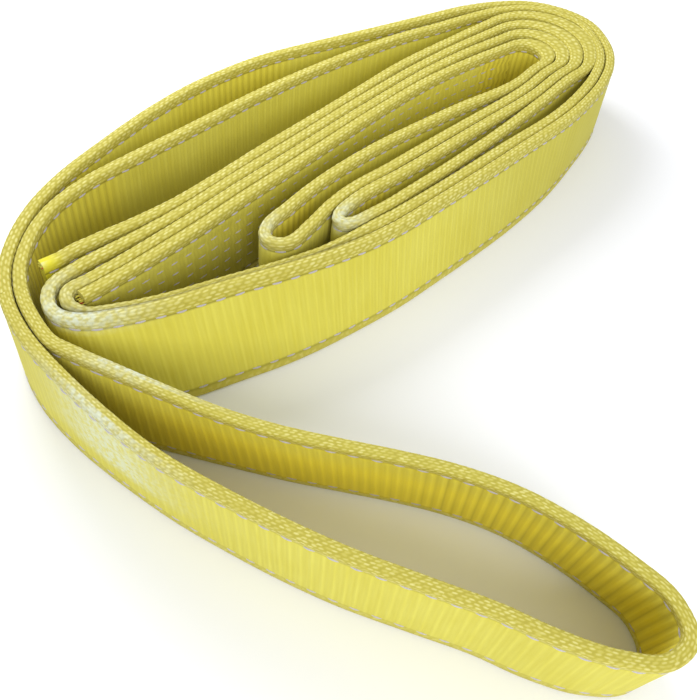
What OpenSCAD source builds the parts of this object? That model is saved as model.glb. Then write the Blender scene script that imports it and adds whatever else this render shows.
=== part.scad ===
// Flat web sling, folded in half and coiled, standing on its lower edge.
// One doubled band runs from the tail of the first eye to the tail of the second:
// tail, eye, splice, front run, back run, end bend, middle loop, and the same back again.

/* [Webbing] */
// Width of the webbing, which is the height of the coil
web_w = 50; // [40:1:65]
// Thickness of one ply
ply_t = 2.8; // [2:0.1:3]
// Clear gap between neighbouring turns of the coil
lane_gap = 0.6; // [0.6:0.1:1]

/* [Coil] */
// Inner radius of the nested turns at the far end of the coil
nest_inner_r = 9.7; // [8:0.1:12]
// Spacing of the nested turns there
nest_pitch = 7.5; // [7:0.1:8]
// Distance of the nest's centre from the coil's middle, along the coil
nest_x = 220; // [215:1:240]
// Distance of the nest's centre from the front run, across the coil
nest_y = 79; // [77:0.5:82]
// How much further each nested turn reaches at the far end
turn_reach = 2; // [0:0.5:2.5]
// How far the far end leans inwards at its upper edge, measured from its middle
far_lean = 2.5; // [0:0.5:3]
// How far the front run leans back at its upper edge, measured from its middle
front_lean = 4; // [0:0.5:4.5]
// How much further it leans back beside its fold
fold_lean = 3; // [0:0.5:3.5]
// Open width inside the first eye
first_eye_slit = 6; // [5:0.5:8]
// Open width inside the second eye
second_eye_slit = 9.5; // [6:0.5:10]

/* [Loop] */
// Reach of the loop, from its root to the far side of its tip
loop_reach = 237; // [225:1:255]
// How far the loop's near leg leans outwards at its upper edge, measured from its middle
near_leg_lean = 2; // [0:0.5:4]
// How far the loop's far leg leans inwards at its upper edge, measured from its middle
far_leg_lean = 6; // [0:0.5:8]
// Clearance round the flex hinges of the end bend
hinge_gap = 0.9; // [0.8:0.1:1.5]

/* [Splice seams] */
// Length of one stitch
stitch_l = 4.5; // [3:0.5:6]
// Spacing of the stitches along a row
stitch_pitch = 8; // [7:0.5:12]
// Width of the sewing thread
thread_w = 1; // [0.6:0.1:1.4]
// Height of a stitch above the webbing
thread_h = 0.6; // [0.4:0.1:0.8]
// Spacing of the stitch rows across the webbing
row_pitch = 6.5; // [6:0.5:7]
// Number of stitch rows in a splice
row_count = 5; // [2:1:5]
// Distance of the first and last stitch from the ends of a tail
seam_margin = 14; // [10:1:30]

/* [Hidden] */

face_yellow = [0.89, 0.72, 0.13];
lining_yellow = [0.80, 0.64, 0.14];
thread_white = [0.93, 0.92, 0.87];

band_t = 2 * ply_t;
lane = band_t + lane_gap;
seat_depth = 0.01;

// Points per stretch of a curve, and steps of a half turn
curve_steps = 3;
turn_steps = 9;

// Nested turns: each inner one lies a step back from the far end
nest = [nest_x, nest_y];
nest_last = 3;
turn_step = [3.5, 1];
function nest_r(k) = nest_inner_r + ply_t + k * nest_pitch;
function nest_centre(k) = nest + (k - nest_last) * turn_step;
function nest_front(k) = nest_centre(k) - [0, nest_r(k)];
function nest_back(k) = nest_centre(k) + [0, nest_r(k)];

// Vector helpers
function unit(v) = v / norm(v);
function left_of(v) = [-v.y, v.x];
function xy(p) = [p.x, p.y];
function flip(list) = [for (i = [len(list) - 1 : -1 : 0]) list[i]];
function ramp(v, from, to) = let (u = max(0, min(1, (v - from) / (to - from)))) u * u * (3 - 2 * u);
function part_of(list, from, to) = [for (i = [from : to]) list[i]];
function last(list) = list[len(list) - 1];
function chain(lists) =
    [for (k = [0 : len(lists) - 1], i = [k == 0 ? 0 : 1 : len(lists[k]) - 1]) lists[k][i]];
function total(list, n) = n <= 0 ? 0 : list[n - 1] + total(list, n - 1);

// Smooth curve through points, with its directions at both ends given
function slope(c, i, first, final) =
    i == 0 ? first : i == len(c) - 1 ? final :
    let (d0 = norm(xy(c[i] - c[i - 1])), d1 = norm(xy(c[i + 1] - c[i])))
    ((c[i] - c[i - 1]) / d0 * d1 + (c[i + 1] - c[i]) / d1 * d0) / (d0 + d1);
function curve(c, first, final) = [
    for (i = [0 : len(c) - 2], k = [i == 0 ? 0 : 1 : curve_steps])
        let (u = k / curve_steps, d = norm(xy(c[i + 1] - c[i])))
        (2 * u ^ 3 - 3 * u ^ 2 + 1) * c[i] + (u ^ 3 - 2 * u ^ 2 + u) * d * slope(c, i, first, final)
        + (3 * u ^ 2 - 2 * u ^ 3) * c[i + 1] + (u ^ 3 - u ^ 2) * d * slope(c, i + 1, first, final)
];

// Left normal at each point of a path, and a path moved sideways along it
function normal_at(p, i) =
    let (n = len(p) - 1)
    left_of(unit(xy(p[min(i + 1, n)] - p[max(i - 1, 0)])));
function beside(p, away) = [for (i = [0 : len(p) - 1]) xy(p[i]) + normal_at(p, i) * away];
// The nested turns open towards the far corner of the coil
far_corner = 40;
function reach_at(a) = turn_reach * max(0, cos(a)) * max(0, cos(a - far_corner));
function half_turn(k, from, to) = [
    for (i = [0 : turn_steps])
        let (a = from + (to - from) * i / turn_steps)
        nest_centre(k) + (nest_r(k) + k * reach_at(a)) * [cos(a), sin(a)]
];

// Second leg of the band, from the loop to the splice: x, y and the spread of the first leg outside it
bend_points = [[-120.8, 50, 0], [-120, 62, 0], [-117, 76.5, 0], [-110.2, 91, 0], [-101, 102.3, 0]];
back_points = [
    [-84, 115.4, 1], [-64, 122.6, 4.5], [-32, 127, 11.5], [0, 130, 17.5], [35, 133, 21],
    [72, 135.3, 20], [115, 136, 12], [155, 134, 6.5], [190, 129.3, 4.5]
];
// Outer turn round the nest: angle, slack outside the nested turns and spread of the first leg
turn_points = [
    [92, 5.6, 2.5], [62, 5.7, 0.5], [38, 9.6, 0], [18, 10.9, 0], [0, 10.2, 0], [-19, 5.7, 0],
    [-38, 2.8, 0], [-56, 1.1, 0], [-80, 1.6, 0]
];
front_points = [
    [205, 30.2, 0], [180, 24.6, 0], [130, 19.3, 0], [66, 16.2, 0], [34, 15.8, 0], [8, 18, 0],
    [-20, 22.7, 0], [-50, 30.4, 0], [-74, 36.8, 0], [-91, 43.8, 0.3],
    [-101, 51, 0.8], [-105.1, 60, 0.9], [-102, 66.5, 1.6], [-92, 68, 3]
];
splice_points = [
    [-76, 69.2, 2.8], [-58, 71.1, 1.6], [-36, 73.6, 0.6], [-8, 78.1, 0], [25, 82.8, 0], [60, 87.5, 0],
    [100, 92.6, 0.2], [140, 97, 0.7], [175, 98, 1.3]
];
nest_spread = nest_pitch + turn_step.y - lane;
splice_end = [nest_back(1).x, nest_back(1).y, nest_spread];
outer_turn = [
    for (t = turn_points)
        let (at = nest + (nest_r(nest_last) + lane + t[1]) * [cos(t[0]), sin(t[0])]) [at.x, at.y, t[2]]
];
leg_points = concat(bend_points, back_points, outer_turn, front_points, splice_points, [splice_end]);
leg = curve(leg_points, [0, 1, 0], [1, 0, 0]);
// The leg moved sideways by whole lanes and the first leg's spread
function leg_beside(i, lanes) = xy(leg[i]) + normal_at(leg, i) * lanes * (lane + leg[i][2]);
outer_leg = [for (i = [0 : len(leg) - 1]) leg_beside(i, 1)];

// Where the leg's stretches end
bend_end = (len(bend_points) - 1) * curve_steps;
back_end = bend_end + (len(back_points) + len(outer_turn)) * curve_steps;
front_end = back_end + len(front_points) * curve_steps;
leg_end = len(leg) - 1;
splice = part_of(leg, front_end, leg_end);
// Tails: the first lies behind the stack and stands off at its end, the second ends in the fold
tail_end_x = -103;
stacked_tail = [for (i = [front_end : leg_end - 1]) leg_beside(i, 2)];
first_tail = concat([[tail_end_x, stacked_tail[0].y + 0.4]], stacked_tail, [nest_back(3)]);
tail_steps = 1;
opening_x = [110, 213];
function tucked(i) =
    xy(leg[i]) - normal_at(leg, i) * (lane + nest_spread * ramp(leg[i].x, opening_x[0], opening_x[1]));
second_tail = [for (i = [leg_end : -1 : front_end - tail_steps]) tucked(i)];

// Front lanes inside the coil, stacked on the front run: x, its y there, wedge below the
// first eye, share of the first eye's slit, share of the second eye's slit
eye_rows = [
    [180, 25.9, 7, 0.1, 0.05], [130, 23.2, 3.3, 0.7, 0.65], [66, 20.2, 1.6, 1, 1], [34, 19.8, 0.8, 1, 0.85]
];
eye_rest = 0.3;
function eye_lane(k, r) =
    r[1] + (k + 1) * lane + r[2] + (k > 0 ? r[3] * first_eye_slit : 0) + (k > 1 ? eye_rest : 0)
    + (k > 2 ? r[4] * second_eye_slit : 0);
function eye_lane_points(k) = [for (r = eye_rows) [r[0], eye_lane(k, r)]];
// The tip of an eye between its lower and upper lanes
function bight(x, y0, y1) =
    [for (a = [-60, -20, 20, 60]) [x + 8 * (1 - cos(a)), (y0 + y1) / 2 + (y1 - y0) / 2 * sin(a)]];
function eye_end(k, x, drop) = [x, eye_lane(k, eye_rows[3]) - drop];
first_eye_bight = bight(17, eye_end(0, 0, -0.6).y, eye_end(1, 0, 2.5).y);
second_lower_ends = [eye_end(2, 20, 2.8), eye_end(2, 6, 7)];
second_upper_ends = [eye_end(3, 6, 5.4), eye_end(3, 20, 2.2)];
second_eye_bight = bight(-17, second_lower_ends[1].y - 3, second_upper_ends[0].y - 4.8);
first_eye_run = curve(
    concat([nest_front(3)], eye_lane_points(0), first_eye_bight, flip(eye_lane_points(1)), [nest_front(2)]),
    [-1, 0], [1, 0]
);
second_eye_run = curve(
    concat(
        [nest_front(1)], eye_lane_points(2), second_lower_ends, second_eye_bight,
        second_upper_ends, flip(eye_lane_points(3)), [nest_front(0)]
    ),
    [-1, 0], [1, 0]
);

// Middle loop, from the outer end of the bend round the bight to its inner end
near_leg_points = [
    [-125.7, 27], [-122, 2], [-116, -25], [-109, -46], [-101.5, -66], [-91, -90], [-76.5, -117]
];
far_leg_points = [
    [-34, -92.5], [-46, -75], [-59, -58], [-74, -38], [-88, -16], [-98.7, 3], [-109, 22], [-116.3, 37]
];
// The loop's tip, as distances from the root along the leg direction, for the reach it was drawn at
drawn_reach = 237;
tip_points = [
    [-65, -138], [-56.5, -157], [-46, -174], [-34, -184.5], [-21, -184.5],
    [-13.5, -173.5], [-13.5, -156], [-17, -134], [-23, -114]
];
tip_move = [0.37, -1] * (loop_reach - drawn_reach);
loop_points = concat(
    [outer_leg[0]], near_leg_points, [for (p = tip_points) p + tip_move], far_leg_points, [xy(leg[0])]
);
loop = curve(loop_points, [0, -1], [0, 1]);

// Stretches in order along the whole band
stretches = [
    first_tail,
    chain([half_turn(3, 90, -90), first_eye_run, half_turn(2, -90, 90)]),
    flip(part_of(outer_leg, front_end, leg_end)),
    flip(part_of(outer_leg, back_end, front_end)),
    flip(part_of(outer_leg, bend_end, back_end)),
    flip(part_of(outer_leg, 0, bend_end)),
    loop,
    part_of(leg, 0, bend_end),
    part_of(leg, bend_end, back_end),
    part_of(leg, back_end, front_end),
    splice,
    chain([half_turn(1, 90, -90), second_eye_run, half_turn(0, -90, 90)]),
    second_tail
];
lengths = [for (s = stretches) len(s) - 1];
starts = [for (k = [0 : len(stretches)]) total(lengths, k)];
raw_path = chain(stretches);
normals = [for (i = [0 : len(raw_path) - 1]) normal_at(raw_path, i)];

// Lean of the upper edge, as a sideways move that fades out towards the rest of the coil;
// each fade runs from its first place to its second
front_fade_x = [120, 215];
front_fade_y = [44, 66];
fold_fade_x = [-45, 25];
far_fade_x = [215, 245];
loop_fade_y = [-30, 40];
function faded(v, ends) = 1 - ramp(v, ends[0], ends[1]);
loop_axis = [0.35, -0.94];
loop_across = [0.94, 0.35];
loop_root = [-121, 45];
loop_half_w = 24;
function front_share(p) = faded(p.y, front_fade_y) * faded(p.x, front_fade_x);
function loop_lean(p) =
    let (q = ((p.x - loop_root.x) * loop_across.x + (p.y - loop_root.y) * loop_across.y))
    near_leg_lean + (far_leg_lean - near_leg_lean) * ramp(q, -loop_half_w, loop_half_w);
function leg_lean(i) =
    let (p = leg[i]) [0, (front_lean + fold_lean * faded(p.x, fold_fade_x)) * front_share(p)];
function far_end_lean(p) = [-far_lean * (1 - faded(p.x, far_fade_x)), 0];
function lean_at(p, i) = far_end_lean(p) + (
    i > starts[3] && i < starts[4] ? leg_lean(front_end - i + starts[3]) :
    i > starts[6] && i < starts[7] ? -loop_across * loop_lean(p) * faded(p.y, loop_fade_y) :
    i > starts[9] && i < starts[10] ? leg_lean(back_end + i - starts[9]) : [0, 0]
);

// The band stands with the middle of its outline over the origin
sides = [
    for (i = [0 : len(raw_path) - 1], s = [-1, 1], e = [-1, 1])
        raw_path[i] + normals[i] * s * ply_t + lean_at(raw_path[i], i) * e
];
low = [min([for (p = sides) p.x]), min([for (p = sides) p.y])];
high = [max([for (p = sides) p.x]), max([for (p = sides) p.y])];
middle = (low + high) / 2;
path = [for (p = raw_path) p - middle];
leans = [for (i = [0 : len(raw_path) - 1]) lean_at(raw_path[i], i)];

// One ring of a ply: lower and upper corners at both sides
function corner(at, n, side, lean, along, top) =
    let (p = at + n * side - left_of(n) * along + (top ? lean : -lean)) [p.x, p.y, top ? web_w : 0];
function ring(i, a, b, along_a = 0, along_b = 0) = [
    corner(path[i], normals[i], a, leans[i], along_a, false),
    corner(path[i], normals[i], b, leans[i], along_b, false),
    corner(path[i], normals[i], b, leans[i], along_b, true),
    corner(path[i], normals[i], a, leans[i], along_a, true)
];
// The two legs run opposite ways, so their facets are split opposite ways to lie alike
near_split = [[0, 4, 5], [0, 5, 1], [2, 6, 7], [2, 7, 3], [1, 5, 6], [1, 6, 2], [0, 7, 4], [0, 3, 7]];
far_split = [[0, 4, 5], [0, 5, 1], [2, 6, 7], [2, 7, 3], [1, 5, 2], [5, 6, 2], [0, 3, 4], [3, 7, 4]];
module swept(rings, split) {
    n = len(rings) - 1;
    polyhedron(
        points = [for (r = rings) each r],
        faces = concat(
            [[0, 1, 2], [0, 2, 3]],
            [for (k = [0 : n - 1], f = split) [for (v = f) v + 4 * k]],
            [[4 * n, 4 * n + 2, 4 * n + 1], [4 * n, 4 * n + 3, 4 * n + 2]]
        ),
        convexity = 12
    );
}

// Flex hinges: at each the moving side is rounded about the axis between the two legs,
// and the other side stops clear of that round
hinge_r = lane / 2 + ply_t;
function round_reach(side) = sqrt(max(0, hinge_r ^ 2 - side ^ 2));
function clear_reach(side) = sqrt((hinge_r + hinge_gap) ^ 2 - side ^ 2);
// Signed distance of a ply's side from the axis, where the axis is to the left of the band
function from_axis(side) = side - lane / 2;
// The end ring of a hinge side, moved out to the round or back from it
function rounded_end(i, a, b, way) =
    ring(i, a, b, way * round_reach(from_axis(a)), way * round_reach(from_axis(b)));
function cleared_end(i, a, b, way) =
    ring(i, a, b, -way * clear_reach(from_axis(a)), -way * clear_reach(from_axis(b)));
// Rings of one stretch; each end is plain, rounded or cleared
function stretch_rings(k, a, b, head = "plain", tail = "plain") = concat(
    head == "rounded" ? [rounded_end(starts[k], a, b, -1)] :
    head == "cleared" ? [cleared_end(starts[k], a, b, -1)] : [],
    [for (i = [starts[k] + (head == "cleared" ? 2 : 0) : starts[k + 1] - (tail == "cleared" ? 2 : 0)])
        ring(i, a, b)],
    tail == "rounded" ? [rounded_end(starts[k + 1], a, b, 1)] :
    tail == "cleared" ? [cleared_end(starts[k + 1], a, b, 1)] : []
);
module face_ply(k, head = "plain", tail = "plain")
    color(face_yellow) swept(stretch_rings(k, -ply_t, 0, head, tail), k < 6 ? far_split : near_split);
module lining_ply(k, head = "plain", tail = "plain")
    color(lining_yellow) swept(stretch_rings(k, 0, ply_t, head, tail), k < 6 ? far_split : near_split);

// Rows of stitches on the left side of a stretch
function step_length(i) = norm(path[i + 1] - path[i]);
function run_length(k) = total([for (i = [starts[k] : starts[k + 1] - 1]) step_length(i)], lengths[k]);
function place(i, rest) =
    let (d = step_length(i), ahead = (path[i + 1] - path[i]) / d)
    rest <= d ? [path[i] + ahead * rest, ahead] : place(i + 1, rest - d);
module seam(k) {
    count = floor((run_length(k) - 2 * seam_margin) / stitch_pitch);
    color(thread_white)
        for (s = [0 : count], r = [0 : row_count - 1]) {
            at = place(starts[k], seam_margin + s * stitch_pitch);
            out = left_of(at[1]) * (ply_t + thread_h / 2 - seat_depth);
            z = web_w / 2 + (r - (row_count - 1) / 2) * row_pitch;
            translate([at[0].x + out.x, at[0].y + out.y, z])
                rotate([0, 0, atan2(at[1].y, at[1].x)])
                    cube([stitch_l, thread_h, thread_w], center = true);
        }
}

module first_tail_face_ply() face_ply(0);
module first_tail_lining_ply() lining_ply(0);
module first_eye_face_ply() face_ply(1);
module first_eye_lining_ply() lining_ply(1);
module first_splice_body_face_ply() face_ply(2);
module first_splice_body_lining_ply() lining_ply(2);
module first_front_run_face_ply() face_ply(3);
module first_front_run_lining_ply() lining_ply(3);
module first_back_run_face_ply() face_ply(4, tail = "cleared");
module first_back_run_lining_ply() lining_ply(4, tail = "cleared");
module first_bend_face_ply() face_ply(5, head = "rounded", tail = "cleared");
module first_bend_lining_ply() lining_ply(5, head = "rounded", tail = "cleared");
module middle_loop_face_ply() face_ply(6, head = "rounded", tail = "rounded");
module middle_loop_lining_ply() lining_ply(6, head = "rounded", tail = "rounded");
module second_bend_face_ply() face_ply(7, head = "cleared", tail = "rounded");
module second_bend_lining_ply() lining_ply(7, head = "cleared", tail = "rounded");
module second_back_run_face_ply() face_ply(8, head = "cleared");
module second_back_run_lining_ply() lining_ply(8, head = "cleared");
module second_front_run_face_ply() face_ply(9);
module second_front_run_lining_ply() lining_ply(9);
module second_splice_body_face_ply() face_ply(10);
module second_splice_body_lining_ply() lining_ply(10);
module second_eye_face_ply() face_ply(11);
module second_eye_lining_ply() lining_ply(11);
module second_tail_face_ply() face_ply(12);
module second_tail_lining_ply() lining_ply(12);
module first_splice_seam() seam(0);
module second_splice_seam() seam(12);

// Least clear gap between turns, measured on the band's middle line at three heights
function level(i, e) = path[i] + leans[i] * e;
function to_piece(p, a, b) =
    let (d = b - a, u = max(0, min(1, ((p - a) * d) / (d * d)))) norm(p - a - u * d);
skip = 12;
function least_gap(e) = min([
    for (i = [0 : len(path) - 1], j = [i + skip : 1 : len(path) - 2])
        to_piece(level(i, e), level(j, e), level(j + 1, e))
]) - band_t;
union() {
    echo(least_gap_mm = [for (e = [-1, 0, 1]) least_gap(e)]);
    echo(band_length_mm = total([for (i = [0 : len(path) - 2]) step_length(i)], len(path) - 1));
    echo(outline_mm = high - low);
}

first_tail_face_ply();
first_tail_lining_ply();
first_eye_face_ply();
first_eye_lining_ply();
first_splice_body_face_ply();
first_splice_body_lining_ply();
first_front_run_face_ply();
first_front_run_lining_ply();
first_back_run_face_ply();
first_back_run_lining_ply();
first_bend_face_ply();
first_bend_lining_ply();
middle_loop_face_ply();
middle_loop_lining_ply();
second_bend_face_ply();
second_bend_lining_ply();
second_back_run_face_ply();
second_back_run_lining_ply();
second_front_run_face_ply();
second_front_run_lining_ply();
second_splice_body_face_ply();
second_splice_body_lining_ply();
second_eye_face_ply();
second_eye_lining_ply();
second_tail_face_ply();
second_tail_lining_ply();
first_splice_seam();
second_splice_seam();
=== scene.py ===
import math

import bpy
import numpy as np
from mathutils import Matrix, Vector


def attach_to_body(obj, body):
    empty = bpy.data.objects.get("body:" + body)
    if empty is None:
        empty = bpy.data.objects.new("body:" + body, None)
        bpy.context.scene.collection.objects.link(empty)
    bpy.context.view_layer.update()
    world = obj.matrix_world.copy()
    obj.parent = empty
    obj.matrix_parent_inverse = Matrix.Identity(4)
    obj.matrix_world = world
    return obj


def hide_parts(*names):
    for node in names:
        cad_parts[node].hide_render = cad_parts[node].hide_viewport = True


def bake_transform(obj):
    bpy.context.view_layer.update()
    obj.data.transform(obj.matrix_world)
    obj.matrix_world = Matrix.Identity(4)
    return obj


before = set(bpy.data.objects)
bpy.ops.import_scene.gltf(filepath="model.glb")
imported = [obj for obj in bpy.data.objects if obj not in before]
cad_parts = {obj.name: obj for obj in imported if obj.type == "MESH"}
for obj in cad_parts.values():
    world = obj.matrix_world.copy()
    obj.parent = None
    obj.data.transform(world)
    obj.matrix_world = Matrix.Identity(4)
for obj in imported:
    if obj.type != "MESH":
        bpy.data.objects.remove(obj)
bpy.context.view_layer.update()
print("frame: loaded", len(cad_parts), "nodes")

mm = 0.001

# Camera, set against the picture's frame
cameraSetup = {
    "place": (-264.1, -152.2, 295.5),   # mm
    "heading": (0.75, 0.66),            # the way it looks, seen from above
    "pitch": 50.0,                      # degrees down
    "roll": 8.0,                        # degrees
    "focalPixels": 800.0,
    "frameHeight": 700.0,
    "sensorHeight": 36.0,               # mm
    "clip": (0.01, 20.0),               # m
}


def addCamera(setup):
    heading = Vector((*setup["heading"], 0.0)).normalized()
    pitch, roll = math.radians(setup["pitch"]), math.radians(setup["roll"])
    look = heading * math.cos(pitch) - Vector((0, 0, 1)) * math.sin(pitch)
    level = look.cross(Vector((0, 0, 1))).normalized()
    above = level.cross(look)
    right = level * math.cos(roll) + above * math.sin(roll)
    up = above * math.cos(roll) - level * math.sin(roll)
    data = bpy.data.cameras.new("camera")
    data.sensor_fit = "VERTICAL"
    data.sensor_height = setup["sensorHeight"]
    data.lens = setup["focalPixels"] * data.sensor_height / setup["frameHeight"]
    data.clip_start, data.clip_end = setup["clip"]
    camera = bpy.data.objects.new("camera", data)
    bpy.context.collection.objects.link(camera)
    turn = Matrix((right, up, -look)).transposed().to_4x4()
    camera.matrix_world = Matrix.Translation(Vector(setup["place"]) * mm) @ turn
    bpy.context.scene.camera = camera


addCamera(cameraSetup)
print("camera: set")

# The band's route, in mm, as the frame was built from it
route = {
    "width": 50.0,
    "ply": 2.8,
    "laneGap": 0.6,
    "nest": (220.0, 79.0),
    "nestInnerRadius": 9.7,
    "nestPitch": 7.5,
    "turnStep": (3.5, 1.0),             # from one turn's centre to that of the next one out
    "lastTurn": 3,
    "turnReach": 2.0,
    "farCorner": 40.0,                  # degrees
    "frontLean": 4.0,
    "foldLean": 3.0,
    "farLean": 2.5,
    "frontFadeX": (120.0, 215.0),       # where each lean fades out
    "frontFadeY": (44.0, 66.0),
    "foldFadeX": (-45.0, 25.0),
    "farFadeX": (215.0, 245.0),
    "loopFadeY": (-30.0, 40.0),
    "openingX": (110.0, 213.0),         # where the second tail opens from the stack
    "tailEnd": -103.0,
    "tailLift": 0.4,                    # the first tail's loose end, off the stack
    "tailReach": 4.0,                   # the second tail's loose end, pressed into the fold
    "firstSlit": 6.0,
    "secondSlit": 9.5,
    "eyeRest": 0.3,                     # room between the two eyes
    "nearLegLean": 2.0,
    "farLegLean": 6.0,
    "loopAcross": (0.94, 0.35),
    "loopRoot": (-121.0, 45.0),
    "loopHalfWidth": 24.0,
    "middle": (76.672, -12.797),        # the outline's middle, which is the frame's origin
    "steps": 14,                        # points between two of the route's points
    "turnSteps": 40,                    # points round a turn of the nest
}
lane = 2 * route["ply"] + route["laneGap"]
nest = np.array(route["nest"])

# The doubled stretch, in mm: x and y of its inner leg, and extra room for the outer leg
bendPoints = [(-120.8, 50, 0), (-120, 62, 0), (-117, 76.5, 0), (-110.2, 91, 0), (-101, 102.3, 0)]
backPoints = [
    (-84, 115.4, 1), (-64, 122.6, 4.5), (-32, 127, 11.5), (0, 130, 17.5), (35, 133, 21),
    (72, 135.3, 20), (115, 136, 12), (155, 134, 6.5), (190, 129.3, 4.5),
]
# Its outer turn: degrees round the nest, slack off the nest's last turn, and extra room
turnPoints = [
    (92, 5.6, 2.5), (62, 5.7, 0.5), (38, 9.6, 0), (18, 10.9, 0), (0, 10.2, 0), (-19, 5.7, 0),
    (-38, 2.8, 0), (-56, 1.1, 0), (-80, 1.6, 0),
]
frontPoints = [
    (205, 30.2, 0), (180, 24.6, 0), (130, 19.3, 0), (66, 16.2, 0), (34, 15.8, 0), (8, 18, 0),
    (-20, 22.7, 0), (-50, 30.4, 0), (-74, 36.8, 0), (-91, 43.8, 0.3),
    (-101, 51, 0.8), (-105.1, 60, 0.9), (-102, 66.5, 1.6), (-92, 68, 3),
]
splicePoints = [
    (-76, 69.2, 2.8), (-58, 71.1, 1.6), (-36, 73.6, 0.6), (-8, 78.1, 0), (25, 82.8, 0), (60, 87.5, 0),
    (100, 92.6, 0.2), (140, 97, 0.7), (175, 98, 1.3),
]
# Lanes of the eyes: x, y of the front run, room before the first lane, shares of the two slits
eyeRows = [
    (180, 25.9, 7, 0.1, 0.05), (130, 23.2, 3.3, 0.7, 0.65), (66, 20.2, 1.6, 1, 1),
    (34, 19.8, 0.8, 1, 0.85),
]
# Where the eyes close: x, and how far their legs draw together
eyeEnds = {
    "tipAngles": (-60, -20, 20, 60),    # degrees
    "tipDepth": 8.0,
    "firstTip": (17, 0.6, -2.5),        # x, and the lower and upper leg against their lanes
    "lowerLeg": [(20, -2.8), (6, -7)],
    "upperLeg": [(6, -5.4), (20, -2.2)],
    "secondTip": (-17, -3, -4.8),       # x, and against the ends of its two legs
}
# The loop, x and y
nearLegPoints = [
    (-125.7, 27), (-122, 2), (-116, -25), (-109, -46), (-101.5, -66), (-91, -90), (-76.5, -117),
]
tipPoints = [
    (-65, -138), (-56.5, -157), (-46, -174), (-34, -184.5), (-21, -184.5),
    (-13.5, -173.5), (-13.5, -156), (-17, -134), (-23, -114),
]
farLegPoints = [
    (-34, -92.5), (-46, -75), (-59, -58), (-74, -38), (-88, -16), (-98.7, 3), (-109, 22), (-116.3, 37),
]


def ramp(value, low, high):
    share = np.clip((value - low) / (high - low), 0, 1)
    return share * share * (3 - 2 * share)


def faded(value, ends):
    return 1 - ramp(value, *ends)


def nestRadius(k):
    return route["nestInnerRadius"] + route["ply"] + k * route["nestPitch"]


def nestCentre(k):
    return nest + (k - route["lastTurn"]) * np.array(route["turnStep"])


def nestFront(k):
    return tuple(nestCentre(k) - (0, nestRadius(k)))


def nestBack(k):
    return tuple(nestCentre(k) + (0, nestRadius(k)))


def routeCurve(points, first, final):
    c = np.array(points, float)
    gap = np.linalg.norm(np.diff(c[:, :2], axis=0), axis=1)
    slope = np.zeros_like(c)
    slope[0], slope[-1] = first, final
    for i in range(1, len(c) - 1):
        before, after = (c[i] - c[i - 1]) / gap[i - 1], (c[i + 1] - c[i]) / gap[i]
        slope[i] = (before * gap[i] + after * gap[i - 1]) / (gap[i - 1] + gap[i])
    rows = [c[0]]
    for i in range(len(c) - 1):
        for k in range(1, route["steps"] + 1):
            u = k / route["steps"]
            rows.append(
                (2 * u**3 - 3 * u**2 + 1) * c[i] + (u**3 - 2 * u**2 + u) * gap[i] * slope[i]
                + (3 * u**2 - 2 * u**3) * c[i + 1] + (u**3 - u**2) * gap[i] * slope[i + 1]
            )
    return np.array(rows)


def leftNormals(path):
    ahead = np.vstack([path[1:], path[-1:]]) - np.vstack([path[:1], path[:-1]])
    ahead /= np.linalg.norm(ahead, axis=1)[:, None]
    return np.stack([-ahead[:, 1], ahead[:, 0]], axis=1)


def halfTurn(k, start, end):
    angle = np.radians(np.linspace(start, end, route["turnSteps"]))
    off = angle - math.radians(route["farCorner"])
    corner = np.clip(np.cos(angle), 0, 1) * np.clip(np.cos(off), 0, 1)
    radius = nestRadius(k) + k * route["turnReach"] * corner
    return nestCentre(k) + radius[:, None] * np.stack([np.cos(angle), np.sin(angle)], axis=1)


def eyeLane(k, row):
    y = row[1] + (k + 1) * lane + row[2]
    y += row[3] * route["firstSlit"] if k > 0 else 0
    y += route["eyeRest"] if k > 1 else 0
    return y + (row[4] * route["secondSlit"] if k > 2 else 0)


def eyeLanePoints(k):
    return [(row[0], eyeLane(k, row)) for row in eyeRows]


def eyeTip(x, low, high):
    middle, half = (low + high) / 2, (high - low) / 2
    angles = [math.radians(a) for a in eyeEnds["tipAngles"]]
    return [(x + eyeEnds["tipDepth"] * (1 - math.cos(a)), middle + half * math.sin(a)) for a in angles]


def joinRuns(runs):
    return np.vstack([runs[0]] + [run[1:] for run in runs[1:]])


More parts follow.
